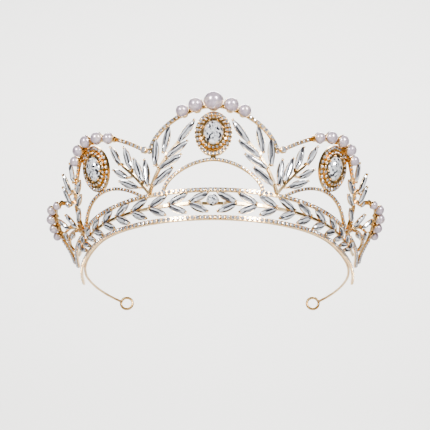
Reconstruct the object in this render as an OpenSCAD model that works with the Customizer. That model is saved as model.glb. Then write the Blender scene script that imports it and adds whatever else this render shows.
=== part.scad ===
// Bridal tiara: a gold wire frame with two rails of set stones, a leafy band,
// five arches with pearls, three oval medallions and four leaf sprays.
// Every place on the wall is given as (s, h, o): s runs along the lower rail from
// the middle, h runs up the wall, and o is the distance outward from the wall.

/* [Band] */
// Radius of the front of the band, seen from above
front_r = 61; // [57:1:65]
// Turn of the front on each side of the middle, in degrees
front_turn = 68; // [64:1:71]
// Radius of the sides of the band, seen from above
side_r = 190; // [160:5:230]
// Length of the band from the middle to a tip
band_len = 146; // [140:1:150]
// Height of the band in the middle, between the rails' centres
band_h = 14.3; // [13:0.1:16]

/* [Wall] */
// Outward lean of the wall in the middle, in degrees
lean_front = -6; // [-8:1:0]
// Outward lean of the wall at the sides, in degrees
lean_side = 55; // [48:1:58]
// Distance from the middle at which the full lean is reached
lean_run = 101; // [96:1:110]

/* [Rails] */
// Spacing of the stones along the rails and arches
pitch = 2.3; // [2.2:0.05:2.6]
// Diameter of a stone's cup
cup_d = 1.9; // [1.7:0.05:2]
// Diameter of the small stones
stone_d = 1.6; // [1.4:0.05:1.6]
// Height and depth of the bar that backs the lower rail
rail_bar = [2, 1]; // [0.8:0.1:2.4]

/* [Arches] */
// Half of the width of the centre arch
arch_w = 32; // [30:0.5:33]
// Height of the wall where the arches meet
arch_foot = 34.5; // [33:0.5:36]
// Rise of the centre arch above that
arch_rise = 24.3; // [23:0.2:27]
// Diameter of the pearl at the very top
pearl_d = 9; // [8:0.1:9.5]

/* [Leaves] */
// Length of a leaf on a spray
leaf_l = 14.4; // [13:0.1:15]
// Length of a leaf on the band
vine_leaf_l = 10.6; // [9.5:0.1:11]
// Width of a leaf
leaf_w = 3.8; // [3.2:0.1:4.2]

/* [Medallions] */
// Width and length of the centre medallion
medal = [17.8, 23.4]; // [17:0.1:24]
// Width and length of its oval stone
oval_stone = [9.6, 13]; // [9:0.1:14]

/* [Wire ends] */
// Diameter of the band wire and its free ends
wire_d = 1.2; // [1:0.1:1.4]
// Outside diameter of the loops at the ends
loop_d = 7.8; // [7:0.1:9]
// Section of the loops
loop_wire = 1.4; // [1.2:0.1:1.6]
// Length of each free end
arm_len = 68; // [60:1:72]

/* [Hidden] */
$fn = 48;
gold = "#d8b46a";
glass = "#e6e6ee";
pearl = "#efe9ee";

wire_o = -1;       // how far behind the wall face the arch wires run
seat_o = 0.1;      // top of the cups
leaf_o = 0.9;      // back of the leaf settings
leaf_t = 0.6;      // thickness of a leaf setting
stem_back = -0.6;  // the stems run from here
stem_front = 1;    // to just inside the leaf settings
base_z = rail_bar[0] / 2;
wire_in = rail_bar[1] / 2 + wire_d / 2 + 0.02;
front_len = front_r * front_turn * PI / 180;
leave_len = 106;   // where the band wire parts from the rail
leave_r = 115;
arm_r = 196;
arm_gap = 0.2;     // half of the clearance at each free end's root
loop_r = (loop_d - loop_wire) / 2;
loop_bore_r = loop_r - loop_wire / 2 + 0.1;

// ---- the wall ----
function turn(s) =
    s < front_len ? s / front_r * 180 / PI : front_turn + (s - front_len) / side_r * 180 / PI;
function from_centre(a, r) = [r * sin(a), -r * cos(a)];
function plan(s) =
    [0, front_r] + (s < front_len ? from_centre(turn(s), front_r)
    : from_centre(front_turn, front_r - side_r) + from_centre(turn(s), side_r));
function lean(s) = lean_front + (lean_side - lean_front) * min(1, pow(s / lean_run, 2));
function wall(s, h, o = 0) =
    let (a = abs(s), t = turn(a), f = lean(a), out = h * sin(f) + o * cos(f), p = plan(a))
    [sign(s) * (p[0] + out * sin(t)), p[1] - out * cos(t), h * cos(f) - o * sin(f)];

// Puts children on the wall: X along the band, Y up the wall, Z outward.
module on_wall(s, h) {
    t = turn(s);
    f = lean(s);
    p = wall(s, h);
    multmatrix([
        [cos(t), sin(f) * sin(t), cos(f) * sin(t), p[0] * (s == 0 ? 0 : 1)],
        [sin(t), -sin(f) * cos(t), -cos(f) * cos(t), p[1]],
        [0, cos(f), -sin(f), p[2]],
        [0, 0, 0, 1],
    ]) children();
}

// The centre of the model's footprint goes to the origin, its lowest face to z = 0.
front_y = wall(0, arch_foot + arch_rise, pearl_lift(pearl_d))[1] - pearl_d / 2;
module placed() {
    translate([0, -(front_y + back_y) / 2, base_z]) children();
}
module on_left() {
    mirror([1, 0, 0]) children();
}

// ---- curves, as functions from t = 0..1 to [s, h] ----
function blend(p, t) =
    len(p) == 1 ? p[0]
    : blend([for (i = [0:len(p) - 2]) (1 - t) * p[i] + t * p[i + 1]], t);
function dome(w, rise, power, a) =
    [w * pow(sin(a), 2 / power), rise * pow(cos(a), 2 / power)];
function rail_h(s) = band_h * cos(90 * s / (band_len - 6));
function sh_to_p(q, o) = wall(q[0], q[1], o);
function span(q, o) = [for (i = [0:len(q) - 2])
    norm(sh_to_p(q[i + 1], o) - sh_to_p(q[i], o))];
function sums(v, i = 0, acc = 0) =
    i >= len(v) ? [acc] : concat([acc], sums(v, i + 1, acc + v[i]));
// Points along the dense curve q at equal distances, close to step apart.
function spaced(q, step) =
    let (d = sums(span(q, 0)), total = d[len(d) - 1], n = max(1, round(total / step)),
        table = [for (i = [0:len(d) - 1]) [d[i], i]])
    [for (k = [0:n])
        let (u = lookup(total * k / n, table), i = min(floor(u), len(q) - 2))
        q[i] + (u - i) * (q[i + 1] - q[i])];
function drop_ends(v, a, b) = [for (i = [a:len(v) - 1 - b]) v[i]];

// ---- small pieces ----
// A flat strip that follows the points q, its front face at o = front.
function strip_corners(q, i, w, back, front) =
    let (n = len(q) - 1, p = sh_to_p(q[i], 0), out = sh_to_p(q[i], 1) - p,
        ahead = sh_to_p(q[min(i + 1, n)], 0) - sh_to_p(q[max(i - 1, 0)], 0),
        side = cross(out, ahead) / norm(cross(out, ahead)) * w / 2)
    [p - side + out * back, p + side + out * back, p + side + out * front, p - side + out * front];
module strip(q, w, back, front) {
    n = len(q);
    points = [for (i = [0:n - 1]) each strip_corners(q, i, w, back, front)];
    sides = [for (i = [0:n - 2], k = [0:3]) let (a = 4 * i + k, b = 4 * i + (k + 1) % 4)
        each [[a, b + 4, b], [a, a + 4, b + 4]]];
    z = 4 * n - 4;
    ends = [[0, 1, 2], [0, 2, 3], [z, z + 2, z + 1], [z, z + 3, z + 2]];
    polyhedron(points, concat(sides, ends));
}
module row(q, d = cup_d) {
    strip(q, d, wire_o, seat_o);
}
// The same points on both sides of the middle, as one line from left to right.
function both_sides(q) = concat([for (i = [len(q) - 1:-1:1]) [-q[i][0], q[i][1]]], q);
module stone(q, d = stone_d) {
    on_wall(q[0], q[1]) translate([0, 0, seat_o])
        cylinder(h = d * 0.35, d1 = d, d2 = d * 0.6);
}
module stones(q, d = stone_d) {
    for (p = q) stone(p, d);
}
module stones_both(q, d = stone_d) {
    stones(q, d);
    on_left() stones([for (p = q) if (p[0] > 0.01) p], d);
}
// A row without the stones of these numbers, where another piece is soldered on.
function without(q, gaps) = [for (i = [0:len(q) - 1]) if (len(search(i, gaps)) == 0) q[i]];
function pearl_lift(d) = d / 2 + 0.14;
// A pearl's seat is a short post with a hollow that fits the pearl.
module pearl_at(q, d) {
    on_wall(q[0], q[1]) translate([0, 0, pearl_lift(d)]) sphere(d = d);
}
module pearl_seat(q, d) {
    on_wall(q[0], q[1]) difference() {
        translate([0, 0, wire_o - 0.3]) cylinder(h = 0.45 - wire_o + d * 0.08, d = d * 0.6);
        translate([0, 0, pearl_lift(d)]) sphere(d = d + 0.04);
    }
}
// A pointed oval, the outline of every leaf: two arcs that cross at its tips.
module leaf_shape(l, w) {
    r = (l * l + w * w) / (4 * w);
    intersection() {
        translate([0, r - w / 2]) circle(r, $fn = 128);
        translate([0, w / 2 - r]) circle(r, $fn = 128);
    }
}
// Puts children flat on the wall, half way from one end to the other, X along the leaf.
module leaf_between(from, to, lift = 0) {
    mid = (from + to) / 2;
    v = sh_to_p(to, leaf_o) - sh_to_p(from, leaf_o);
    t = turn(mid[0]);
    f = lean(mid[0]);
    along = v * [cos(t), sin(t), 0];
    up = v * [sin(f) * sin(t), -sin(f) * cos(t), cos(f)];
    on_wall(mid[0], mid[1]) translate([0, 0, leaf_o + lift])
        rotate([0, 0, atan2(up, along)]) children();
}
// A leaf is [root, tip, size].
module leaf_settings(list, l, w) {
    for (q = list) leaf_between(q[0], q[1])
        linear_extrude(leaf_t) leaf_shape(l * q[2], w * min(1, q[2] * 1.05));
}
module leaf_stones(list, l, w) {
    for (q = list) leaf_between(q[0], q[1], leaf_t) {
        long = l * q[2];
        wide = w * min(1, q[2] * 1.05);
        linear_extrude(0.5) leaf_shape(long - 1.2, wide - 0.8);
        linear_extrude(0.9) leaf_shape(long * 0.66, wide * 0.4);
    }
}

// ---- wire along the head ----
module arc_wire(p, heading, r, turn, d) {
    translate([p[0] - r * sin(heading), p[1] + r * cos(heading), 0])
        rotate([0, 0, heading - 90]) rotate_extrude(angle = turn, $fn = 180)
            translate([r, 0]) rotate([0, 0, 22.5]) circle(d = d / cos(22.5), $fn = 8);
}
function arc_end(p, heading, r, turn) =
    p + r * [sin(heading + turn) - sin(heading), cos(heading) - cos(heading + turn)];
wire_start = [0, wire_in];
wire_mid = arc_end(wire_start, 0, front_r - wire_in, front_turn);
side_turn = turn(leave_len) - front_turn;
wire_leave = arc_end(wire_mid, front_turn, side_r - wire_in, side_turn);
last_turn = 91 - turn(leave_len);
pivot = arc_end(wire_leave, turn(leave_len), leave_r, last_turn);
wire_z = wire_d / 2 - base_z;
arm_turn = arm_len / arm_r * 180 / PI;
arm_flat_end = arc_end([0, arm_gap], 91, arm_r, arm_turn);
arm_tilt = asin((loop_d / 2 + loop_r * sin(20) - wire_d / 2) / norm(arm_flat_end));
arm_end = [pivot[0] + arm_flat_end[0], pivot[1] + arm_flat_end[1] * cos(arm_tilt)];
back_y = arm_end[1] + loop_wire / 2;

module band_wire_right() {
    back = arm_gap / leave_r * 180 / PI;
    arc_wire(wire_mid, front_turn, side_r - wire_in, side_turn, wire_d);
    arc_wire(wire_leave, turn(leave_len), leave_r, last_turn - back, wire_d);
}
module band_wire() {
    color(gold) placed() translate([0, 0, wire_z]) {
        arc_wire(arc_end(wire_start, 0, front_r - wire_in, -front_turn), -front_turn,
            front_r - wire_in, 2 * front_turn, wire_d);
        band_wire_right();
        on_left() band_wire_right();
    }
}
module right_wire_arm() {
    color(gold) placed() translate([pivot[0], pivot[1], wire_z]) {
        rotate([arm_tilt, 0, 0]) arc_wire([0, arm_gap], 91, arm_r, arm_turn, wire_d);
    }
}
module left_wire_arm() {
    on_left() right_wire_arm();
}
module right_end_loop() {
    color(gold) placed()
        translate([arm_end[0] - loop_r * cos(20), arm_end[1], loop_d / 2 - base_z])
            rotate([90, 0, 0]) rotate_extrude() intersection() {
                translate([loop_r, 0]) circle(d = loop_wire);
                translate([loop_bore_r, -loop_wire]) square(2 * loop_wire);
            }
}
module left_end_loop() {
    on_left() right_end_loop();
}

// ---- rails ----
lower_q = spaced([for (s = [0:1:band_len]) [s, 0]], pitch);
upper_end = band_len - 24;
upper_q = spaced([for (s = [0:1:upper_end]) [s, rail_h(s)]], pitch);
module bar_arc(p, heading, r, turn) {
    translate([p[0] - r * sin(heading), p[1] + r * cos(heading), -rail_bar[0] / 2])
        rotate([0, 0, heading - 90]) rotate_extrude(angle = turn, $fn = 180)
            translate([r - rail_bar[1] / 2, 0]) square([rail_bar[1], rail_bar[0]]);
}
module lower_rail() {
    tip_turn = turn(band_len + 0.9) - front_turn;
    start = plan(front_len);
    color(gold) placed() {
        bar_arc([-start[0], start[1]], -front_turn, front_r, 2 * front_turn);
        bar_arc(start, front_turn, side_r, tip_turn);
        on_left() bar_arc(start, front_turn, side_r, tip_turn);
    }
}
// The lower rail's stones face straight out, so that the bar's flat edge is lowest.
module rail_stone(s) {
    p = plan(s);
    translate([p[0], p[1], 0]) rotate([90, 0, turn(s)])
        translate([0, 0, rail_bar[1] / 2 + 0.02]) cylinder(h = stone_d * 0.35, d1 = stone_d, d2 = stone_d * 0.6);
}
module lower_rail_stones() {
    color(glass) placed() {
        for (q = lower_q) rail_stone(q[0]);
        on_left() for (q = drop_ends(lower_q, 1, 0)) rail_stone(q[0]);
    }
}
module upper_rail() {
    color(gold) placed() row(both_sides(upper_q));
}
upper_gaps = [13, 15, 36, 37];
module upper_rail_stones() {
    color(glass) placed() stones_both(without(upper_q, upper_gaps));
}

// ---- leafy band between the rails ----
// The vine climbs a little towards the tips, so that its lower leaves clear the table.
function vine_h(s) = rail_h(s) * 0.5 + 0.7 * pow(s / upper_end, 2);
function vine_size(s) = min(1, max(0.4, rail_h(s) / 11.6));
// Each leaf pair starts where the one before it ends.
function vine_steps(s, last) = s > last ? [] : concat([s], vine_steps(s + 9.8 * max(0.66, vine_size(s)), last));
vine_end = upper_end - 20;
vine_s = vine_steps(11.2, vine_end - 3);
vine_list = [for (s = vine_s, side = [1, -1])
    let (k = vine_size(s), b = vine_h(s) + side * 0.4 * k)
    [[s, b], [s - 9.4 * max(k, 0.66), b + side * 4.6 * k], max(k, 0.66)]];
vine_stem = [for (i = [0:16]) let (s = 5.2 + i * (vine_end - 5.2) / 16) [s, vine_h(s)]];
module right_vine() {
    color(gold) placed() {
        strip(vine_stem, 1.3, stem_back, stem_front);
        leaf_settings(vine_list, vine_leaf_l, leaf_w);
    }
}
module left_vine() {
    on_left() right_vine();
}
module right_vine_leaves() {
    color(glass) placed() leaf_stones(vine_list, vine_leaf_l, leaf_w);
}
module left_vine_leaves() {
    on_left() right_vine_leaves();
}
solo_d = 5.2;
module solitaire_setting() {
    color(gold) placed() on_wall(0, 8.2) {
        translate([0, 0, -0.9]) cylinder(h = 1.9, d1 = 3.4, d2 = solo_d + 0.6);
        translate([-5, -1.7, -0.7]) cube([10, 1.2, 1.2]);
    }
}
module solitaire() {
    color(glass) placed() on_wall(0, 8.2) translate([0, 0, 1])
        cylinder(h = 1.6, d1 = solo_d, d2 = solo_d * 0.55);
}

// ---- arches ----
// Each arch is a curve [points, distance to its first pearl, pearls from there on].
function arch_q(a) = let (d = dome(arch_w, arch_rise, 1.7, a)) [d[0], arch_foot + d[1]];
function sweep(curve, n = 48) = [for (i = [0:n]) blend(curve, i / n)];
centre_arch_line = [[for (a = [0:2:88]) arch_q(a)], 0, [pearl_d, 7, 6]];
side_arch_line = [sweep([[34.6, 36.6], [66.2, 56.8], [59.7, 44], [77, 22.5]]),
    18.2, [5.4, 6, 6, 5.7, 5]];
outer_arch_line = [sweep([[81, 24.4], [93.8, 37.4], [91.7, 9.4], [120, 5]]),
    5, [4.2, 4.8, 5, 4.8, 4.2]];
function length(q) = let (d = sums(span(q, 0))) d[len(d) - 1];
function at_length(q, x) =
    let (d = sums(span(q, 0)), u = lookup(x, [for (i = [0:len(d) - 1]) [d[i], i]]),
        i = min(floor(u), len(q) - 2))
    q[i] + (u - i) * (q[i + 1] - q[i]);
// How far along the arch each pearl sits, every pearl close against the one before.
function pearl_run(v, x, i = 0) =
    i >= len(v) ? [] : concat([x], pearl_run(v, x + (v[i] + (i + 1 < len(v) ? v[i + 1] : 0)) / 2 + 0.25, i + 1));
function part_row(q, a, b) =
    let (n = max(1, round((b - a) / pitch))) [for (k = [0:n]) at_length(q, a + (b - a) * k / n)];
module arch_metal(line, two_sided) {
    q = line[0];
    run = pearl_run(line[2], line[1]);
    even = spaced(q, pitch);
    row(two_sided ? both_sides(even) : even);
    for (i = [0:len(run) - 1]) {
        pearl_seat(at_length(q, run[i]), line[2][i]);
        if (two_sided && run[i] > 0) on_left() pearl_seat(at_length(q, run[i]), line[2][i]);
    }
}
module arch_pearls(line) {
    run = pearl_run(line[2], line[1]);
    for (i = [0:len(run) - 1]) pearl_at(at_length(line[0], run[i]), line[2][i]);
}
module arch_stones(line, gaps = []) {
    q = line[0];
    run = pearl_run(line[2], line[1]);
    last = len(run) - 1;
    before = line[1] - line[2][0] / 2 - stone_d;
    after = run[last] + line[2][last] / 2 + stone_d * 0.6;
    if (before > pitch) stones(drop_ends(part_row(q, 2.6, before), 0, 0));
    stones(without(part_row(q, after, length(q) - 0.4), gaps));
}
end_gem = 2.6;
module end_gem_cup(line) {
    on_wall(line[0][0][0], line[0][0][1]) translate([0, 0, wire_o - 0.3])
        cylinder(h = seat_o - wire_o + 0.5, d = end_gem + 0.6);
}
module end_gem_stone(line) {
    on_wall(line[0][0][0], line[0][0][1]) translate([0, 0, seat_o + 0.22])
        cylinder(h = end_gem * 0.35, d1 = end_gem, d2 = end_gem * 0.6);
}
module centre_arch() {
    color(gold) placed() arch_metal(centre_arch_line, true);
}
module centre_arch_stones() {
    color(glass) placed() {
        arch_stones(centre_arch_line);
        on_left() arch_stones(centre_arch_line);
    }
}
module centre_arch_pearls() {
    color(pearl) placed() {
        arch_pearls(centre_arch_line);
        on_left() arch_pearls([centre_arch_line[0], (pearl_d + 7) / 2 + 0.25, [7, 6]]);
    }
}
module right_side_arch() {
    color(gold) placed() {
        arch_metal(side_arch_line, false);
        end_gem_cup(side_arch_line);
    }
}
module left_side_arch() {
    on_left() right_side_arch();
}
side_gaps = [3, 6, 8];
module right_side_arch_stones() {
    color(glass) placed() {
        arch_stones(side_arch_line, side_gaps);
        end_gem_stone(side_arch_line);
    }
}
module left_side_arch_stones() {
    on_left() right_side_arch_stones();
}
module right_side_arch_pearls() {
    color(pearl) placed() arch_pearls(side_arch_line);
}
module left_side_arch_pearls() {
    on_left() right_side_arch_pearls();
}
module right_outer_arch() {
    color(gold) placed() {
        arch_metal(outer_arch_line, false);
        end_gem_cup(outer_arch_line);
    }
}
module left_outer_arch() {
    on_left() right_outer_arch();
}
module right_outer_arch_stones() {
    color(glass) placed() {
        arch_stones(outer_arch_line);
        end_gem_stone(outer_arch_line);
    }
}
module left_outer_arch_stones() {
    on_left() right_outer_arch_stones();
}
module right_outer_arch_pearls() {
    color(pearl) placed() arch_pearls(outer_arch_line);
}
module left_outer_arch_pearls() {
    on_left() right_outer_arch_pearls();
}

// ---- thin arches that stand on the upper rail ----
thin_pitch = 1.9;
thin_cup = 1.5;
thin_stone = 1.2;
centre_thin = spaced([for (a = [0:2:88])
    let (d = dome(24.5, 15.6, 1.7, a)) [d[0], band_h + 0.2 + d[1]]], thin_pitch);
side_thin = spaced(sweep([[35.4, 13.6], [62, 30.9], [71.8, 11.9], [78, 10.6]]), thin_pitch);
low_thin = spaced(sweep([[83.8, 9.4], [86, 14], [98, 14.6], [103.5, 7.4]]), thin_pitch);
module centre_inner_arch() {
    color(gold) placed() row(both_sides(centre_thin), thin_cup);
}
module centre_inner_stones() {
    color(glass) placed() stones_both(centre_thin, thin_stone);
}
module right_inner_arch() {
    color(gold) placed() row(side_thin, thin_cup);
}
module left_inner_arch() {
    on_left() right_inner_arch();
}
module right_inner_stones() {
    color(glass) placed() stones(side_thin, thin_stone);
}
module left_inner_stones() {
    on_left() right_inner_stones();
}
module right_low_arch() {
    color(gold) placed() row(low_thin, thin_cup);
}
module left_low_arch() {
    on_left() right_low_arch();
}
module right_low_stones() {
    color(glass) placed() stones(without(low_thin, [2, 7]), thin_stone);
}
module left_low_stones() {
    on_left() right_low_stones();
}

// ---- medallions ----
// An oval of four arcs that meet smoothly.
module oval(size) {
    w = size[0];
    l = size[1];
    e = w * 0.37;
    r = (w * w / 4 + pow(l / 2 - e, 2) - e * e) / (w - 2 * e);
    join = (l / 2 - e) * r / (r - e);
    intersection() {
        translate([r - w / 2, 0]) circle(r, $fn = 128);
        translate([w / 2 - r, 0]) circle(r, $fn = 128);
        translate([-w, -join]) square([2 * w, 2 * join]);
    }
    for (y = [-1, 1]) translate([0, y * (l / 2 - e)]) circle(e, $fn = 96);
}
halo_step = 2.15;
module medallion(size, gem) {
    difference() {
        union() {
            translate([0, 0, wire_o - 0.4]) linear_extrude(1.5) oval(size);
            translate([0, 0, wire_o]) linear_extrude(2.6) oval(gem + [3.2, 3.2]);
        }
        translate([0, 0, wire_o + 0.6]) linear_extrude(4) oval(gem + [0.1, 0.1]);
    }
    translate([0, -size[1] / 2 - 0.4, wire_o + 0.3]) cylinder(h = 0.7, d = 2.6);
}
function round_oval(size, n, i) = [size[0] / 2 * sin(360 * i / n), size[1] / 2 * cos(360 * i / n)];
module halo(size, gaps = []) {
    ring = size - [2.2, 2.2];
    n = round(PI * (ring[0] + ring[1]) / 2 / halo_step);
    for (i = without([for (i = [0:n - 1]) i], gaps))
        translate([each round_oval(ring, n, i), wire_o + 1.1])
            cylinder(h = 0.7, d1 = 1.7, d2 = 1);
}
module gem(size) {
    translate([0, 0, wire_o + 0.62]) linear_extrude(2.4) oval(size);
    translate([0, 0, wire_o + 0.62]) linear_extrude(3.3) oval(size * 0.72);
}
medal_place = [0, 43.6];
side_medal_place = [59.2, 32.8];
side_medal = medal * 0.97;
side_gem = oval_stone * 0.97;
// The side medallions are bent round towards the front by this many degrees.
side_medal_turn = 13;
module centre_medallion() {
    color(gold) placed() on_wall(medal_place[0], medal_place[1]) medallion(medal, oval_stone);
}
module centre_halo_stones() {
    color(glass) placed() on_wall(medal_place[0], medal_place[1]) halo(medal);
}
module centre_oval_stone() {
    color(glass) placed() on_wall(medal_place[0], medal_place[1]) gem(oval_stone);
}
module at_side_medal() {
    color(gold) placed() on_wall(side_medal_place[0], side_medal_place[1])
        rotate([0, -side_medal_turn, 0]) children();
}
module right_medallion() {
    at_side_medal() medallion(side_medal, side_gem);
}
module left_medallion() {
    on_left() right_medallion();
}
module right_halo_stones() {
    color(glass) at_side_medal() halo(side_medal, [2, 4]);
}
module left_halo_stones() {
    on_left() right_halo_stones();
}
module right_oval_stone() {
    color(glass) at_side_medal() gem(side_gem);
}
module left_oval_stone() {
    on_left() right_oval_stone();
}

// ---- leaf sprays: stems as [s, h] curves, leaves as [root, tip, size] ----
spray_foot = [31.2, 14];
front_stem = [spray_foot, [28.6, 24], [25, 30], [18, 38.6]];
back_stem = [spray_foot, [35.5, 20], [39.8, 25], [44.6, 30]];
spray_list = [
    [[17.6, 38.8], [9.6, 49.6], 1],
    [[24.6, 33.2], [21.8, 47.4], 1],
    [[28.2, 27.2], [28.2, 41], 1],
    [[23.2, 31.6], [12.4, 38.6], 0.94],
    [[26.6, 26], [15, 31.8], 0.94],
    [[29.4, 17.6], [19, 25.4], 0.94],
    [[31.6, 17.4], [33.4, 31.4], 1],
    [[44.8, 30.2], [50.2, 41.2], 0.88],
    [[39.8, 26.4], [43.6, 39.6], 0.96],
    [[34.2, 19.6], [39, 33], 1],
    [[40.8, 23], [49.8, 29.4], 0.86],
    [[35, 17], [47.6, 23.4], 0.98],
];
rear_foot = [81.2, 9];
rear_front_stem = [rear_foot, [79.4, 14], [78, 18], [76.2, 21.3]];
rear_back_stem = [rear_foot, [83.6, 13], [87.4, 15.2], [91.6, 15.6]];
rear_list = [
    [[71.3, 31.6], [68, 40], 0.74],
    [[74.9, 27.8], [73.6, 36.8], 0.78],
    [[77.6, 23.2], [76.6, 31.8], 0.74],
    [[72.6, 25.6], [65.4, 30], 0.74],
    [[75.2, 20.6], [67.4, 23.6], 0.74],
    [[79.8, 14.2], [72.2, 18.2], 0.74],
    [[81.6, 12], [84.8, 21], 0.74],
    [[91.4, 15.2], [95.6, 12.6], 0.5],
    [[87.8, 15.4], [90.4, 21.2], 0.62],
    [[85.4, 11.6], [93, 10.8], 0.6],
];
function nearest(points, p) = let (d = [for (q = points) norm(q - p)]) points[search(min(d), d)[0]];
module spray_metal(stems, list, l, more = []) {
    along = concat(sweep(stems[0], 24), sweep(stems[1], 24), more);
    for (c = stems) strip(sweep(c, 8), 1.2, stem_back, stem_front);
    for (q = list) strip([nearest(along, q[0]), q[0] + (q[1] - q[0]) * 0.14],
        0.9, stem_back + 0.1, stem_front - 0.04);
    leaf_settings(list, l, leaf_w);
}
module right_spray() {
    color(gold) placed() spray_metal([front_stem, back_stem], spray_list, leaf_l);
}
module left_spray() {
    on_left() right_spray();
}
module right_spray_leaves() {
    color(glass) placed() leaf_stones(spray_list, leaf_l, leaf_w);
}
module left_spray_leaves() {
    on_left() right_spray_leaves();
}
module right_rear_spray() {
    color(gold) placed()
        spray_metal([rear_front_stem, rear_back_stem], rear_list, leaf_l, side_arch_line[0]);
}
module left_rear_spray() {
    on_left() right_rear_spray();
}
module right_rear_leaves() {
    color(glass) placed() leaf_stones(rear_list, leaf_l, leaf_w);
}
module left_rear_leaves() {
    on_left() right_rear_leaves();
}

band_wire();
left_wire_arm();
right_wire_arm();
left_end_loop();
right_end_loop();
lower_rail();
lower_rail_stones();
upper_rail();
upper_rail_stones();
left_vine();
right_vine();
left_vine_leaves();
right_vine_leaves();
solitaire_setting();
solitaire();
centre_arch();
centre_arch_stones();
centre_arch_pearls();
left_side_arch();
right_side_arch();
left_side_arch_stones();
right_side_arch_stones();
left_side_arch_pearls();
right_side_arch_pearls();
left_outer_arch();
right_outer_arch();
left_outer_arch_stones();
right_outer_arch_stones();
left_outer_arch_pearls();
right_outer_arch_pearls();
centre_inner_arch();
centre_inner_stones();
left_inner_arch();
right_inner_arch();
left_inner_stones();
right_inner_stones();
left_low_arch();
right_low_arch();
left_low_stones();
right_low_stones();
centre_medallion();
centre_halo_stones();
centre_oval_stone();
left_medallion();
left_halo_stones();
left_oval_stone();
right_medallion();
right_halo_stones();
right_oval_stone();
left_spray();
right_spray();
left_spray_leaves();
right_spray_leaves();
left_rear_spray();
right_rear_spray();
left_rear_leaves();
right_rear_leaves();
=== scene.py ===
"""The looks of a bridal tiara: gold plating, set rhinestones, navette leaves, oval
medallions and pearls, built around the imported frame."""

import math

import bmesh
import bpy
import numpy as np
from mathutils import Matrix, Vector


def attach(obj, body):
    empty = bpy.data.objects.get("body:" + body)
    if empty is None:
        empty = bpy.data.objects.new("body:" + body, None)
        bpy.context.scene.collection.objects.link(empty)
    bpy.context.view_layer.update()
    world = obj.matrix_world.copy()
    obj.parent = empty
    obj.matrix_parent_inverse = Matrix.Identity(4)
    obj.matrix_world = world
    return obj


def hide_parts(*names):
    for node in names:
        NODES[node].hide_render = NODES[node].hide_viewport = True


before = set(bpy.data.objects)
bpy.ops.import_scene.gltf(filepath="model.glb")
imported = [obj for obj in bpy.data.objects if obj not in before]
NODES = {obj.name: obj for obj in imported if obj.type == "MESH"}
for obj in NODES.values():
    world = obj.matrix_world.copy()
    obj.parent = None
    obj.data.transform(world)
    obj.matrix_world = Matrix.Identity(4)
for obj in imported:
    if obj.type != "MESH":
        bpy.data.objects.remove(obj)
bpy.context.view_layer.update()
MM = 0.001
UP = np.array([0.0, 0.0, 1.0])


# ---------------------------------------------------------------- shader sockets
class Value:
    """A socket in a material's tree. Operators add Math nodes."""

    def __init__(self, maker, socket):
        self.maker, self.socket = maker, socket

    def math(self, operation, *others):
        return self.maker.node("ShaderNodeMath", {"operation": operation},
                               [self, *others])

    def __add__(self, other): return self.math("ADD", other)
    def __radd__(self, other): return self.math("ADD", other)
    def __sub__(self, other): return self.math("SUBTRACT", other)
    def __mul__(self, other): return self.math("MULTIPLY", other)
    def fraction(self): return self.math("FRACT")

    def between(self, low, high):
        """0 at low, 1 at high, clamped and smooth."""
        return self.maker.node(
            "ShaderNodeMapRange", {"interpolation_type": "SMOOTHSTEP", "clamp": True},
            {"Value": self, "From Min": low, "From Max": high}, "Result")


class Finish:
    """One material and the tree behind it."""

    def __init__(self, name):
        self.material = bpy.data.materials.new(name)
        self.material.use_nodes = True
        self.tree = self.material.node_tree
        self.shader = self.tree.nodes["Principled BSDF"]

    def plug(self, socket, value):
        if isinstance(value, Value):
            self.tree.links.new(value.socket, socket)
        elif isinstance(value, (tuple, list)) and socket.type == "RGBA":
            socket.default_value = (*value[:3], 1.0)
        else:
            socket.default_value = value

    def node(self, kind, settings=None, inputs=None, output=0):
        """Adds a node: its settings first, then the values or links of its sockets."""
        made = self.tree.nodes.new(kind)
        for key, value in (settings or {}).items():
            if key == "stops":
                stops = made.color_ramp.elements
                stops.remove(stops[-1])
                stops[0].position = value[0][0]
                stops[0].color = (*value[0][1], 1.0)
                for place, colour in value[1:]:
                    stops.new(place).color = (*colour, 1.0)
            else:
                setattr(made, key, value)
        named = inputs.items() if isinstance(inputs, dict) else enumerate(inputs or [])
        for key, value in named:
            self.plug(made.inputs[key], value)
        return Value(self, made.outputs[output])

    def place(self):
        return self.node("ShaderNodeTexCoord", output="Object")

    def noise(self, scale, detail=3.0, rough=0.5):
        return self.node("ShaderNodeTexNoise", {},
                         {"Vector": self.place(), "Scale": scale, "Detail": detail,
                          "Roughness": rough})

    def attribute(self, name):
        return self.node("ShaderNodeAttribute", {"attribute_name": name}, output="Fac")

    def ramp(self, value, stops):
        return self.node("ShaderNodeValToRGB", {"stops": stops}, [value], "Color")

    def mix(self, factor, a, b):
        made = self.tree.nodes.new("ShaderNodeMix")
        made.data_type = "RGBA"
        colours = [s for s in made.inputs if s.type == "RGBA"]
        self.plug(made.inputs["Factor"], factor)
        self.plug(colours[0], a)
        self.plug(colours[1], b)
        return Value(self, [s for s in made.outputs if s.type == "RGBA"][0])

    def bump(self, height, strength, distance):
        return self.node("ShaderNodeBump", {},
                         {"Height": height, "Strength": strength, "Distance": distance},
                         "Normal")

    def set(self, **values):
        for name, value in values.items():
            self.plug(self.shader.inputs[name.replace("_", " ")], value)
        return self.material


def plated_gold(name, light, deep, rough):
    """Bright plating over a casting: warmer in soft patches, with small pits."""
    f = Finish(name)
    patches = f.noise(160.0).between(0.35, 0.68)
    fine = f.noise(1500.0, 2.0)
    return f.set(Base_Color=f.mix(patches, light, deep), Metallic=1.0,
                 Roughness=rough + fine * 0.12,
                 Normal=f.bump(fine, 0.25, 0.00006))


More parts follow.
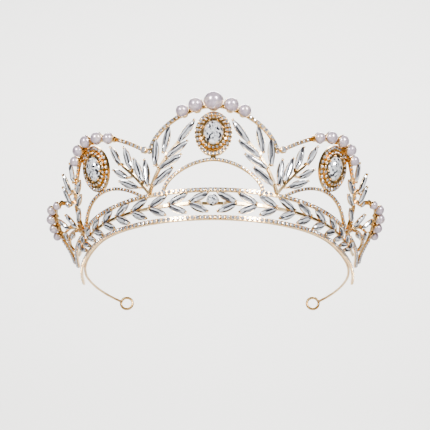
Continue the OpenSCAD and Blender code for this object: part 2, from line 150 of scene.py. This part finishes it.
def cut_crystal(name, stops, metallic, rough, cloud=0.1):
    """Foil-backed stone with painted reflections: every facet is painted its own grey,
    from clear white to dark, in place of the light and dark it would mirror.
    """
    f = Finish(name)
    # Painted reflection: each facet's grey comes from its own number plus a random shift
    # per stone, not from any lamp.
    reflection_tone = (f.attribute("facet") + f.attribute("spark")).fraction()
    # A small noise that shifts each facet's painted reflection grey.
    reflection_jitter = f.noise(1400.0, 2.0) * cloud - cloud / 2
    return f.set(Base_Color=f.ramp(reflection_tone + reflection_jitter, stops), Metallic=metallic,
                 Roughness=rough, Coat_Weight=0.6, Coat_Roughness=0.04)


def pearl_skin():
    f = Finish("pearl lustre")
    cloud = f.noise(420.0, 4.0)
    tint = f.ramp(cloud.between(0.3, 0.7),
                  [(0.0, (0.50, 0.41, 0.47)), (0.55, (0.60, 0.51, 0.58)),
                   (1.0, (0.70, 0.58, 0.56))])
    return f.set(Base_Color=tint, Metallic=0.35, Roughness=0.24 + cloud * 0.06,
                 Coat_Weight=1.0, Coat_Roughness=0.08,
                 Normal=f.bump(f.noise(2600.0), 0.06, 0.00003))


GOLD = plated_gold("plated gold", (0.84, 0.60, 0.32), (0.76, 0.48, 0.20), 0.17)
# The wire's plating is painted darker than the plated gold: painted shade of the
# lower-lit wire arms, band and end loops.
SHADED_WIRE = plated_gold("gold wire", (0.70, 0.48, 0.22), (0.52, 0.31, 0.11), 0.24)
CHAMPAGNE = plated_gold("champagne stem", (0.87, 0.67, 0.42), (0.78, 0.53, 0.27), 0.19)
# The grey stops of the three crystals are painted reflections: clear white and near black
# facets stand for mirrored light and dark.
RHINESTONE = cut_crystal(
    "rhinestone", [(0.0, (0.97, 0.97, 1.0)), (0.3, (0.62, 0.62, 0.68)),
                   (0.48, (0.10, 0.10, 0.13)), (0.68, (0.70, 0.70, 0.77)),
                   (0.82, (0.22, 0.22, 0.25)), (1.0, (0.97, 0.97, 1.0))], 0.5, 0.07)
NAVETTE = cut_crystal(
    "navette crystal", [(0.0, (0.96, 0.97, 1.0)), (0.2, (0.86, 0.87, 0.90)),
                        (0.28, (0.07, 0.07, 0.08)), (0.52, (0.03, 0.03, 0.035)),
                        (0.6, (0.42, 0.42, 0.45)), (0.74, (0.08, 0.08, 0.09)),
                        (0.86, (0.90, 0.90, 0.95)), (1.0, (0.97, 0.97, 1.0))], 0.4, 0.06)
OVAL = cut_crystal(
    "oval crystal", [(0.0, (0.97, 0.98, 1.0)), (0.3, (0.84, 0.86, 0.90)),
                     (0.38, (0.06, 0.06, 0.07)), (0.58, (0.02, 0.02, 0.03)),
                     (0.66, (0.50, 0.51, 0.55)), (0.78, (0.93, 0.94, 0.98)),
                     (1.0, (0.98, 0.98, 1.0))], 0.35, 0.05)
PEARL = pearl_skin()


# ---------------------------------------------------------------- reading the frame
def islands(node):
    """The separate solids of a CAD node, each as (corners, triangles)."""
    bm = bmesh.new()
    bm.from_mesh(NODES[node].data)
    bmesh.ops.remove_doubles(bm, verts=bm.verts, dist=2e-6)
    bm.verts.ensure_lookup_table()
    corners = np.array([v.co for v in bm.verts])
    label = -np.ones(len(bm.verts), int)
    found = []
    for start in bm.verts:
        if label[start.index] >= 0:
            continue
        number = len(found)
        label[start.index] = number
        stack, members = [start], []
        while stack:
            v = stack.pop()
            members.append(v.index)
            for e in v.link_edges:
                w = e.other_vert(v)
                if label[w.index] < 0:
                    label[w.index] = number
                    stack.append(w)
        found.append(members)
    faces = [[] for _ in found]
    for f in bm.faces:
        faces[label[f.verts[0].index]].append([v.index for v in f.verts])
    bm.free()
    return [(corners[m], corners[np.array(fs)]) for m, fs in zip(found, faces)]


def unit(v):
    return v / np.linalg.norm(v)


def seat_of(solid):
    """A flat-backed stone's place: back centre, outward, lengthwise, length, width."""
    corners, triangles = solid
    cross = np.cross(triangles[:, 1] - triangles[:, 0], triangles[:, 2] - triangles[:, 0])
    area = np.linalg.norm(cross, axis=1)
    normals = cross / np.maximum(area, 1e-20)[:, None]
    big = normals[np.argmax(area)]
    best, outward = 0.0, big
    for n in normals[np.argsort(-area)[:12]]:
        total = area[(normals @ n) > 0.9995].sum()
        if total > best * 1.02:
            best, outward = total, -n
    height = corners @ outward
    back = corners[height < height.min() + 2e-5]
    centre = (back.max(0) + back.min(0)) / 2
    spread = back - back.mean(0)
    _, vectors = np.linalg.eigh(spread.T @ spread)
    along = unit(vectors[:, 2] - outward * (vectors[:, 2] @ outward))
    if along[2] < 0:
        along = -along
    side = np.cross(outward, along)
    a, b = back @ along, back @ side
    centre = along * (a.max() + a.min()) / 2 + side * (b.max() + b.min()) / 2 \
        + outward * height.min()
    return {"centre": centre, "outward": outward, "along": along,
            "length": float(np.ptp(a)), "width": float(np.ptp(b)),
            "height": float(np.ptp(height))}


def seats(*nodes):
    return [seat_of(s) for n in nodes for s in islands(n)]


def balls(*nodes):
    """Centre and radius of each pearl."""
    out = []
    for n in nodes:
        for corners, _ in islands(n):
            low, high = corners.min(0), corners.max(0)
            out.append(((low + high) / 2, float((high - low).max()) / 2))
    return out


# ---------------------------------------------------------------- small shapes
def mesh_of(name, corners, faces, material, reflection_tones=None, smooth=False):
    data = bpy.data.meshes.new(name)
    data.from_pydata([tuple(c) for c in corners], [], [tuple(f) for f in faces])
    bm = bmesh.new()
    bm.from_mesh(data)
    bmesh.ops.remove_doubles(bm, verts=bm.verts, dist=1e-7)
    bmesh.ops.recalc_face_normals(bm, faces=bm.faces)
    bm.to_mesh(data)
    bm.free()
    # Each face stores the number that picks its painted reflection grey.
    if reflection_tones is not None:
        facet = data.attributes.new("facet", "FLOAT", "FACE")
        facet.data.foreach_set("value", [reflection_tones(f.index, f.center) for f in data.polygons])
    data.materials.append(material)
    data.polygons.foreach_set("use_smooth", [smooth] * len(data.polygons))
    return data


def lathe_rings(rings, turns, closed_top=True, closed_back=True):
    """Faces between rings of points, all with the same count."""
    corners, faces = [], []
    for ring in rings:
        corners.extend(ring)
    for r in range(len(rings) - 1):
        for i in range(turns):
            a, b = r * turns + i, r * turns + (i + 1) % turns
            faces.append((a, b, b + turns, a + turns))
    if closed_back:
        faces.append(tuple(reversed(range(turns))))
    if closed_top:
        start = (len(rings) - 1) * turns
        faces.append(tuple(range(start, start + turns)))
    return corners, faces


# Painted reflection: each facet's grey number steps along the facets, so bright and dark
# facets alternate.
def reflection_walk(step):
    return lambda i, centre: (i * step + 0.13 * (i % 3)) % 1.0


def reflection_streaks(lanes, step):
    """Facets of one lane share a painted reflection grey, so a long stone shows painted
    lengthwise reflection streaks.
    """
    def reflection_tone(i, centre):
        lane = math.floor((centre.y + 0.5) * lanes)
        return (lane * step + 0.1 * math.floor((centre.x + 0.5) * 3)) % 1.0
    return reflection_tone


def faceted(name, outline, levels, material, reflection_tones=None):
    """A stone of flat facets. outline(scale, shift, height) gives a ring, and levels
    give each ring's (scale, height, shift). A shift of 0.5 turns it by half a step."""
    rings = [outline(scale, shift, height) for scale, height, shift in levels]
    turns = len(rings[0])
    corners = [c for ring in rings for c in ring]
    faces = [tuple(reversed(range(turns)))]
    for r in range(len(rings) - 1):
        turned = levels[r + 1][2] != levels[r][2]
        lead = levels[r + 1][2] > levels[r][2]
        for i in range(turns):
            a, b = r * turns + i, r * turns + (i + 1) % turns
            c, d = a + turns, b + turns
            if not turned:
                faces.append((a, b, d, c))
            elif lead:
                faces += [(a, b, c), (b, d, c)]
            else:
                faces += [(a, b, d), (a, d, c)]
    start = (len(rings) - 1) * turns
    faces.append(tuple(range(start, start + turns)))
    # By default the painted reflection greys step along the facets.
    return mesh_of(name, corners, faces, material, reflection_tones or reflection_walk(0.381))


def round_outline(turns):
    def ring(scale, shift, height):
        return [(0.5 * scale * math.cos(2 * math.pi * (i + shift) / turns),
                 0.5 * scale * math.sin(2 * math.pi * (i + shift) / turns), height)
                for i in range(turns)]
    return ring


def pointed_outline(turns, slim):
    """A navette of unit length: two arcs that meet in points at either end."""
    radius = (1 + slim * slim) / (4 * slim)
    half = math.asin(0.5 / radius)

    def ring(scale, shift, height):
        points = []
        for i in range(turns):
            u = ((i + shift) / turns) % 1.0
            upper = u < 0.5
            w = (u if upper else u - 0.5) * 2
            angle = half * (1 - 2 * w)
            x = radius * math.sin(angle)
            y = radius * math.cos(angle) - (radius - slim / 2)
            x, y = (x, y) if upper else (-x, -y)
            long, wide = scale if isinstance(scale, tuple) else (scale, scale)
            points.append((x * long, y * wide, height))
        return points
    return ring


def piece_object(name, data):
    obj = bpy.data.objects.new(name, data)
    bpy.context.scene.collection.objects.link(obj)
    obj.hide_render = True
    return obj


# ---------------------------------------------------------------- node trees
def setting_tree():
    """Puts one small piece on every point, turned by the point's own turn, sized by
    its own span, and lifted by Lift."""
    tree = bpy.data.node_groups.new("set pieces", "GeometryNodeTree")
    face = tree.interface
    face.new_socket("Seats", in_out="INPUT", socket_type="NodeSocketGeometry")
    face.new_socket("Piece", in_out="INPUT", socket_type="NodeSocketObject")
    face.new_socket("Size", in_out="INPUT", socket_type="NodeSocketFloat")
    face.new_socket("Lift", in_out="INPUT", socket_type="NodeSocketFloat")
    face.new_socket("Spread", in_out="INPUT", socket_type="NodeSocketFloat")
    face.new_socket("Finish", in_out="INPUT", socket_type="NodeSocketMaterial")
    face.new_socket("Pieces", in_out="OUTPUT", socket_type="NodeSocketGeometry")

    def add(kind, **settings):
        n = tree.nodes.new(kind)
        for key, value in settings.items():
            setattr(n, key, value)
        return n
    inp, out = add("NodeGroupInput"), add("NodeGroupOutput")
    link = tree.links.new
    info = add("GeometryNodeObjectInfo")
    link(inp.outputs["Piece"], info.inputs["Object"])
    turn = add("GeometryNodeInputNamedAttribute", data_type="FLOAT_VECTOR")
    turn.inputs["Name"].default_value = "turn"
    rotation = add("FunctionNodeEulerToRotation")
    link(turn.outputs["Attribute"], rotation.inputs["Euler"])
    span = add("GeometryNodeInputNamedAttribute", data_type="FLOAT_VECTOR")
    span.inputs["Name"].default_value = "span"
    sized = add("ShaderNodeVectorMath", operation="SCALE")
    link(span.outputs["Attribute"], sized.inputs[0])
    link(inp.outputs["Size"], sized.inputs["Scale"])
    place = add("GeometryNodeInstanceOnPoints")
    link(inp.outputs["Seats"], place.inputs["Points"])
    link(info.outputs["Geometry"], place.inputs["Instance"])
    link(rotation.outputs["Rotation"], place.inputs["Rotation"])
    link(sized.outputs["Vector"], place.inputs["Scale"])
    lift = add("ShaderNodeCombineXYZ")
    link(inp.outputs["Lift"], lift.inputs["Z"])
    move = add("GeometryNodeTranslateInstances")
    link(place.outputs["Instances"], move.inputs["Instances"])
    link(lift.outputs["Vector"], move.inputs["Translation"])
    # A random shift per stone of its painted reflection greys (the spark attribute), so
    # neighbouring stones show different painted glints.
    chance = add("FunctionNodeRandomValue", data_type="FLOAT")
    chance.inputs["Seed"].default_value = 7
    floats = [s for s in chance.inputs if s.type == "VALUE" and s.enabled]
    floats[0].default_value = 0.0
    link(inp.outputs["Spread"], floats[1])
    store = add("GeometryNodeStoreNamedAttribute", data_type="FLOAT", domain="INSTANCE")
    store.inputs["Name"].default_value = "spark"
    link(move.outputs["Instances"], store.inputs["Geometry"])
    link([s for s in chance.outputs if s.enabled][0], store.inputs["Value"])
    real = add("GeometryNodeRealizeInstances")
    link(store.outputs["Geometry"], real.inputs["Geometry"])
    coat = add("GeometryNodeSetMaterial")
    link(real.outputs["Geometry"], coat.inputs["Geometry"])
    link(inp.outputs["Finish"], coat.inputs["Material"])
    link(coat.outputs["Geometry"], out.inputs["Pieces"])
    return tree


SET_PIECES = setting_tree()


def socket_id(tree, name):
    return next(i.identifier for i in tree.interface.items_tree
                if i.name == name and i.in_out == "INPUT")


def turned(along, outward):
    side = np.cross(outward, along)
    m = Matrix((along, side, outward)).transposed()
    return m.to_euler()


def set_on(name, places, piece, finish, size=1.0, lift=0.0, spread=1.0, body="frame",
           smooth=False):
    """One mesh of pieces on a list of places, each (centre, along, outward, span)."""
    name = name.replace(" ", "-")
    data = bpy.data.meshes.new(name)
    data.from_pydata([tuple(p[0]) for p in places], [], [])
    turn = data.attributes.new("turn", "FLOAT_VECTOR", "POINT")
    turn.data.foreach_set("vector", [c for p in places for c in turned(p[1], p[2])])
    span = data.attributes.new("span", "FLOAT_VECTOR", "POINT")
    span.data.foreach_set("vector", [float(c) for p in places for c in p[3]])
    host = bpy.data.objects.new(name, data)
    bpy.context.scene.collection.objects.link(host)
    modifier = host.modifiers.new("setting", "NODES")
    modifier.node_group = SET_PIECES
    values = {"Piece": piece, "Size": size, "Lift": lift, "Spread": spread,
              "Finish": finish}
    for key, value in values.items():
        modifier[socket_id(SET_PIECES, key)] = value
    bpy.context.view_layer.update()
    graph = bpy.context.evaluated_depsgraph_get()
    made = bpy.data.meshes.new_from_object(host.evaluated_get(graph))
    host.modifiers.remove(modifier)
    host.data = made
    made.name = name
    made.polygons.foreach_set("use_smooth", [smooth] * len(made.polygons))
    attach(host, body)
    return host


# ---------------------------------------------------------------- the small pieces
ROUND = piece_object("round stone", faceted(
    "round stone", round_outline(8),
    [(0.86, -0.22, 0.0), (1.0, 0.0, 0.0), (0.80, 0.17, 0.5), (0.46, 0.27, 0.0)],
    RHINESTONE))
BRILLIANT = piece_object("brilliant", faceted(
    "brilliant", round_outline(12),
    [(0.8, -0.3, 0.0), (1.0, 0.0, 0.0), (0.86, 0.13, 0.5), (0.66, 0.22, 0.0),
     (0.42, 0.27, 0.5), (0.14, 0.28, 0.0)], OVAL))
CUT_OVAL = piece_object("cut oval", faceted(
    "cut oval", round_outline(18),
    [(0.96, -0.12, 0.0), (1.0, 0.0, 0.0), (0.88, 0.15, 0.5), (0.72, 0.26, 0.0),
     (0.54, 0.33, 0.5), (0.34, 0.345, 0.0), (0.12, 0.35, 0.5)], OVAL,
    reflection_walk(0.293)))
CUT_LEAF = piece_object("cut leaf", faceted(
    "cut leaf", pointed_outline(16, 1.0),
    [(0.99, -0.1, 0.0), (1.0, 0.02, 0.0), (0.80, 0.55, 0.5), ((0.66, 0.42), 0.86, 0.0),
     ((0.5, 0.06), 1.0, 0.0)],
    NAVETTE, reflection_streaks(6, 0.37)))


def cup_mesh():
    """A round cup of unit width with four claw beads, its rim at height 0."""
    turns = 12
    rings = [[(0.5 * w * math.cos(2 * math.pi * i / turns),
               0.5 * w * math.sin(2 * math.pi * i / turns), z) for i in range(turns)]
             for w, z in ((0.84, -0.5), (1.0, -0.38), (1.0, 0.04), (0.86, 0.06))]
    corners, faces = lathe_rings(rings, turns)
    for k in range(4):
        angle = math.pi / 4 + k * math.pi / 2
        x, y, r = 0.45 * math.cos(angle), 0.45 * math.sin(angle), 0.1
        base = len(corners)
        corners += [(x - r, y - r, -0.1), (x + r, y - r, -0.1), (x + r, y + r, -0.1),
                    (x - r, y + r, -0.1), (x * 0.92, y * 0.92, 0.24)]
        faces += [(base, base + 1, base + 4), (base + 1, base + 2, base + 4),
                  (base + 2, base + 3, base + 4), (base + 3, base, base + 4),
                  (base + 3, base + 2, base + 1, base)]
    return mesh_of("cup", corners, faces, GOLD)


CUP = piece_object("cup", cup_mesh())


def ball_mesh(name, material, rows=14, turns=28):
    rings = [[(0.5 * math.sin(math.pi * r / rows) * math.cos(2 * math.pi * i / turns),
               0.5 * math.sin(math.pi * r / rows) * math.sin(2 * math.pi * i / turns),
               -0.5 * math.cos(math.pi * r / rows)) for i in range(turns)]
             for r in range(1, rows)]
    corners, faces = lathe_rings(rings, turns, False, False)
    last = len(corners)
    corners += [(0, 0, -0.5), (0, 0, 0.5)]
    top = (rows - 2) * turns
    for i in range(turns):
        faces.append((last, (i + 1) % turns, i))
        faces.append((last + 1, top + i, top + (i + 1) % turns))
    return mesh_of(name, corners, faces, material, smooth=True)


BALL = piece_object("pearl ball", ball_mesh("pearl ball", PEARL))
BEAD = piece_object("gold bead", ball_mesh("gold bead", GOLD, 6, 8))


def place(s, span, shift=0.0):
    """A place on a seat, moved outward by shift, with its own span."""
    return (s["centre"] + s["outward"] * shift, s["along"], s["outward"], span)


# ---------------------------------------------------------------- stone chains
STONE_OVER = 1.2        # a stone with its facets, against the plain one it covers
CUP_OVER = 1.26         # the cup round it
CHAIN_LIFT = 0.00012
CHAINS = [n for n in NODES if n.endswith("_stones") and "halo" not in n]
for node in CHAINS:
    places = seats(node)
    stones = [place(s, (s["length"] * STONE_OVER,) * 3) for s in places]
    cups = [place(s, (s["length"] * CUP_OVER,) * 3) for s in places]
    chain = set_on(node.replace("_", " "), stones, ROUND, RHINESTONE, 1.0, CHAIN_LIFT)
    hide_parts(node)
    set_on(node.replace("stones", "cups").replace("_", " "), cups, CUP, GOLD)

# ---------------------------------------------------------------- leaves
CLAW_APART = 0.35       # mm either side of a leaf's point
CLAW_SPAN = (0.0013, 0.0005, 0.0007)
LEAVES = [n for n in NODES if n.endswith("_leaves")]
for node in LEAVES:
    places = seats(node)
    cut = [place(s, (s["length"] * 1.05, (s["width"] + 0.0005), s["height"] * 1.5))
           for s in places]
    crystal = set_on(node.replace("_", " "), cut, CUT_LEAF, NAVETTE)
    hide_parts(node)
    claws = []
    for s in places:
        for end in (-1, 1):
            for across in (-CLAW_APART, CLAW_APART):
                spot = s["centre"] + s["along"] * end * (s["length"] / 2 + 0.0001)
                side = np.cross(s["outward"], s["along"])
                claws.append((spot + side * across * MM + s["outward"] * 0.0005,
                              s["along"], s["outward"], CLAW_SPAN))
    set_on(node.replace("leaves", "claws").replace("_", " "), claws, BEAD, GOLD,
           smooth=True)

# ---------------------------------------------------------------- medallions
INNER_COUNT = 22        # small stones round each oval stone
INNER_AWAY = 1.55 * MM  # from the oval stone's edge to their middle
GEM_CLAWS = 8
for side in ("centre", "left", "right"):
    gem = seats(side + "_oval_stone")[0]
    stones = seats(side + "_halo_stones")
    outer = set_on(side + " halo stones", [place(s, (s["length"] * 1.04,) * 3)
                                           for s in stones], ROUND, RHINESTONE)
    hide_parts(side + "_halo_stones")
    set_on(side + " halo cups", [place(s, (s["length"] * 1.22,) * 3) for s in stones],
           CUP, GOLD)
    length, width = gem["length"], gem["width"]
    across = np.cross(gem["outward"], gem["along"])
    inner, claws = [], []
    for i in range(INNER_COUNT):
        a = 2 * math.pi * i / INNER_COUNT
        ring = ((length / 2 + INNER_AWAY) * math.cos(a),
                (width / 2 + INNER_AWAY) * math.sin(a))
        spot = gem["centre"] + gem["along"] * ring[0] + across * ring[1]
        away = unit(gem["along"] * ring[0] + across * ring[1])
        tilt = unit(gem["outward"] + away * 0.45)
        along = unit(np.cross(tilt, np.cross(away, tilt)))
        inner.append((spot + gem["outward"] * 1.75 * MM, along, tilt, (0.00118,) * 3))
    for i in range(GEM_CLAWS):
        a = 2 * math.pi * (i + 0.5) / GEM_CLAWS
        spot = gem["centre"] + gem["along"] * (length / 2) * math.cos(a) \
            + across * (width / 2) * math.sin(a)
        claws.append((spot + gem["outward"] * 2.3 * MM, gem["along"], gem["outward"],
                      (0.0011, 0.0009, 0.0012)))
    set_on(side + " inner stones", inner, ROUND, RHINESTONE, 1.0, 0.0001)
    set_on(side + " inner cups", [(p[0], p[1], p[2], (0.00155,) * 3) for p in inner],
           CUP, GOLD)
    set_on(side + " gem claws", claws, BEAD, GOLD, smooth=True)
    cut = set_on(side + " oval stone",
                 [(gem["centre"] + gem["outward"] * 1.4 * MM, gem["along"],
                   gem["outward"], (length, width, 0.0068))],
                 CUT_OVAL, OVAL)
    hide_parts(side + "_oval_stone")

only = seats("solitaire")[0]
solitaire = set_on("solitaire brilliant",
                   [place(only, (only["length"] * 1.08,) * 3, 0.0012)],
                   BRILLIANT, OVAL)
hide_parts("solitaire")

# ---------------------------------------------------------------- pearls
def bezel_mesh(turns=20):
    """A thin round rim of unit width that a pearl sits in."""
    rings = [[(w * math.cos(2 * math.pi * i / turns),
               w * math.sin(2 * math.pi * i / turns), z) for i in range(turns)]
             for w, z in ((0.30, -0.40), (0.44, -0.26), (0.53, -0.06), (0.51, -0.04),
                          (0.42, -0.24), (0.28, -0.37))]
    corners, faces = lathe_rings(rings, turns, False, False)
    last = (len(rings) - 1) * turns
    for i in range(turns):
        j = (i + 1) % turns
        faces.append((last + i, last + j, j, i))
    return mesh_of("bezel", corners, faces, GOLD, smooth=True)


BEZEL = piece_object("bezel", bezel_mesh())
for node in [n for n in NODES if n.endswith("_pearls")]:
    chain = seats(node.replace("pearls", "stones"))
    rims = []
    for centre, radius in balls(node):
        near = sorted(chain, key=lambda s: np.linalg.norm(s["centre"] - centre))[:2]
        out = unit(near[0]["outward"] + near[1]["outward"])
        along = unit(np.cross(out, np.cross(near[0]["along"], out)))
        rims.append((centre, along, out, (2.04 * radius,) * 3))
    set_on(node.replace("pearls", "pearl rims").replace("_", " "), rims, BEZEL, GOLD,
           smooth=True)
    strung = [(c, np.array([1.0, 0, 0]), UP, (2 * r,) * 3) for c, r in balls(node)]
    pearls = set_on(node.replace("_", " "), strung, BALL, PEARL,
                    smooth=True)
    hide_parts(node)

# ---------------------------------------------------------------- finishes of CAD nodes
for name, node in NODES.items():
    # Wire parts get the darker gold that paints in their shade.
    wire = name == "band_wire" or "wire_arm" in name or "end_loop" in name
    finish = SHADED_WIRE if wire else CHAMPAGNE if "vine" in name or "spray" in name else GOLD
    if name.endswith("_pearls"):
        finish = PEARL
    elif name.endswith("_leaves"):
        finish = NAVETTE
    elif name.endswith("_stones"):
        finish = RHINESTONE
    elif "oval_stone" in name or name == "solitaire":
        finish = OVAL
    if not node.material_slots:
        node.data.materials.append(finish)
    for held in node.material_slots:
        held.material = finish


# ---------------------------------------------------------------- floor, light, camera
def plain(name, colour, rough):
    f = Finish(name)
    return f.set(Base_Color=colour, Roughness=rough)


FLOOR_Z = -0.42
PALE = plain("pale floor", (0.74, 0.73, 0.71), 0.8)


def sweep_wall(y, bend, top, half):
    """A floor that rises behind the object in one smooth bend."""
    line = [(-half, FLOOR_Z), (y - bend, FLOOR_Z)] + [
        (y - bend + bend * math.sin(a), FLOOR_Z + bend * (1 - math.cos(a)))
        for a in (math.pi / 2 * i / 32 for i in range(1, 33))] + [(y, top)]
    corners = [(x, p[0], p[1]) for p in line for x in (-half, half)]
    faces = [(2 * i, 2 * i + 1, 2 * i + 3, 2 * i + 2) for i in range(len(line) - 1)]
    data = bpy.data.meshes.new("floor")
    data.from_pydata(corners, [], faces)
    data.polygons.foreach_set("use_smooth", [True] * len(faces))
    data.materials.append(PALE)
    wall = bpy.data.objects.new("floor", data)
    bpy.context.scene.collection.objects.link(wall)


sweep_wall(2.2, 0.8, 3.2, 6)

bpy.context.scene.view_settings.look = "AgX - Medium High Contrast"
world = bpy.data.worlds.new("studio air")
bpy.context.scene.world = world
world.use_nodes = True
world.node_tree.nodes["Background"].inputs["Color"].default_value = (0.60, 0.62, 0.66, 1)
world.node_tree.nodes["Background"].inputs["Strength"].default_value = 0.16


def softbox(name, place, aim, size, power, spread=math.pi):
    lamp = bpy.data.lights.new(name, "AREA")
    lamp.shape = "RECTANGLE"
    lamp.size, lamp.size_y = size
    lamp.energy = power
    lamp.spread = spread
    obj = bpy.data.objects.new(name, lamp)
    obj.location = place
    obj.rotation_euler = (Vector(aim) - Vector(place)).to_track_quat("-Z", "Y").to_euler()
    bpy.context.scene.collection.objects.link(obj)
    return obj


AIM = (0, -0.04, 0.03)
softbox("left softbox", (-0.50, -0.80, 0.30), AIM, (0.22, 0.34), 10)
softbox("right softbox", (0.50, -0.76, 0.34), AIM, (0.22, 0.34), 10)
softbox("high back softbox", (0.0, 0.55, 0.75), AIM, (0.6, 0.3), 7)
softbox("backdrop light", (0.0, 0.75, 1.7), (0, 2.2, 0.3), (2.4, 0.6), 60,
        math.radians(110))

CAMERA_AT = Vector((0.01855, -0.78405, -0.2303))
CAMERA_AIM = Vector((0.0, -0.08021, 0.031))
FOCAL_WIDTHS = 1603.0 / 430.0
lens = bpy.data.cameras.new("camera")
lens.sensor_width = 36
lens.lens = 36 * FOCAL_WIDTHS
lens.shift_x = -(213.0 - 215.0) / 430.0
lens.shift_y = (156.4 - 215.0) / 430.0
camera = bpy.data.objects.new("camera", lens)
bpy.context.scene.collection.objects.link(camera)
camera.location = CAMERA_AT
camera.rotation_euler = (CAMERA_AIM - CAMERA_AT).to_track_quat("-Z", "Y").to_euler()
camera.rotation_euler.rotate_axis("Z", math.radians(0.4))
lens.clip_start, lens.clip_end = 0.01, 40
bpy.context.scene.camera = camera

for master in (ROUND, BRILLIANT, CUT_OVAL, CUT_LEAF, CUP, BALL, BEAD, BEZEL):
    bpy.data.objects.remove(master)
